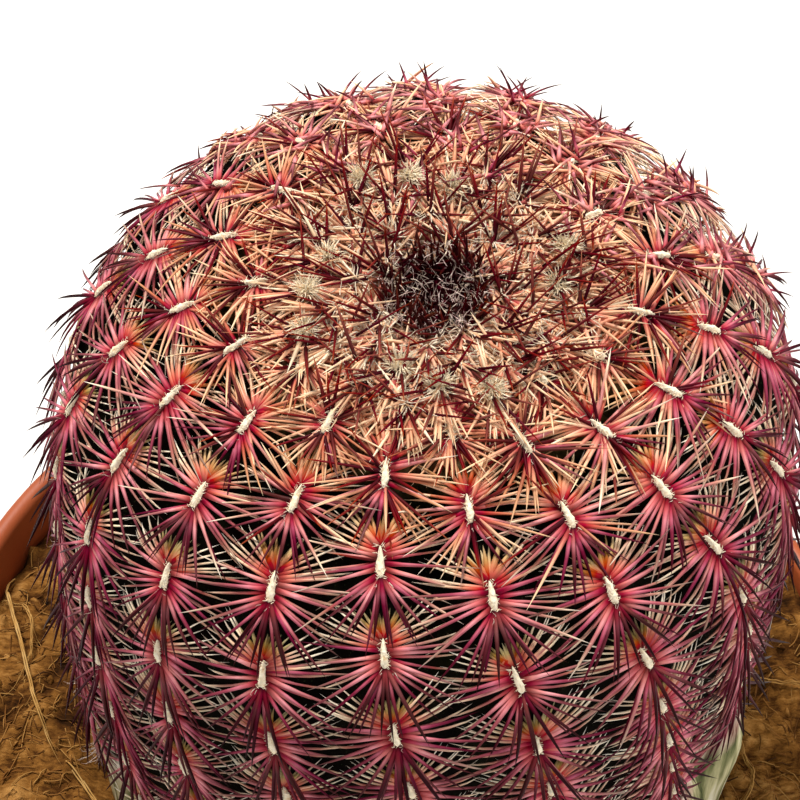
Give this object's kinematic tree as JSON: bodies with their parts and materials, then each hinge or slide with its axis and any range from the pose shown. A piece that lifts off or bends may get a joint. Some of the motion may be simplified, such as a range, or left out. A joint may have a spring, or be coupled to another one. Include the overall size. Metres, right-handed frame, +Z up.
{
  "type": "potted rainbow cactus",
  "caption": "Ribbed, globe-shaped cactus with a sunken crown and pink combs of spines along its ribs, standing in coir in a round plastic pot.",
  "frame": {"origin": "centre of the pot's underside, on the surface it stands on", "axes": "+Z up along the pot's axis; -Y towards the side that the crown leans to"},
  "size_m": [0.1116, 0.1116, 0.1654],
  "materials": {
    "terracotta_plastic": "satin",
    "coir": "matte",
    "stem_skin": "satin",
    "spines": "satin"
  },
  "bodies": {
    "root": {"pot": "terracotta_plastic", "soil": "coir", "stem": "stem_skin", "crown_spines": "spines", "spines_rib_01": "spines", "spines_rib_02": "spines", "spines_rib_03": "spines", "spines_rib_04": "spines", "spines_rib_05": "spines", "spines_rib_06": "spines", "spines_rib_07": "spines", "spines_rib_08": "spines", "spines_rib_09": "spines", "spines_rib_10": "spines", "spines_rib_11": "spines", "spines_rib_12": "spines", "spines_rib_13": "spines", "spines_rib_14": "spines", "spines_rib_15": "spines", "spines_rib_16": "spines", "spines_rib_17": "spines", "spines_rib_18": "spines", "spines_rib_19": "spines"}
  },
  "joints": []
}
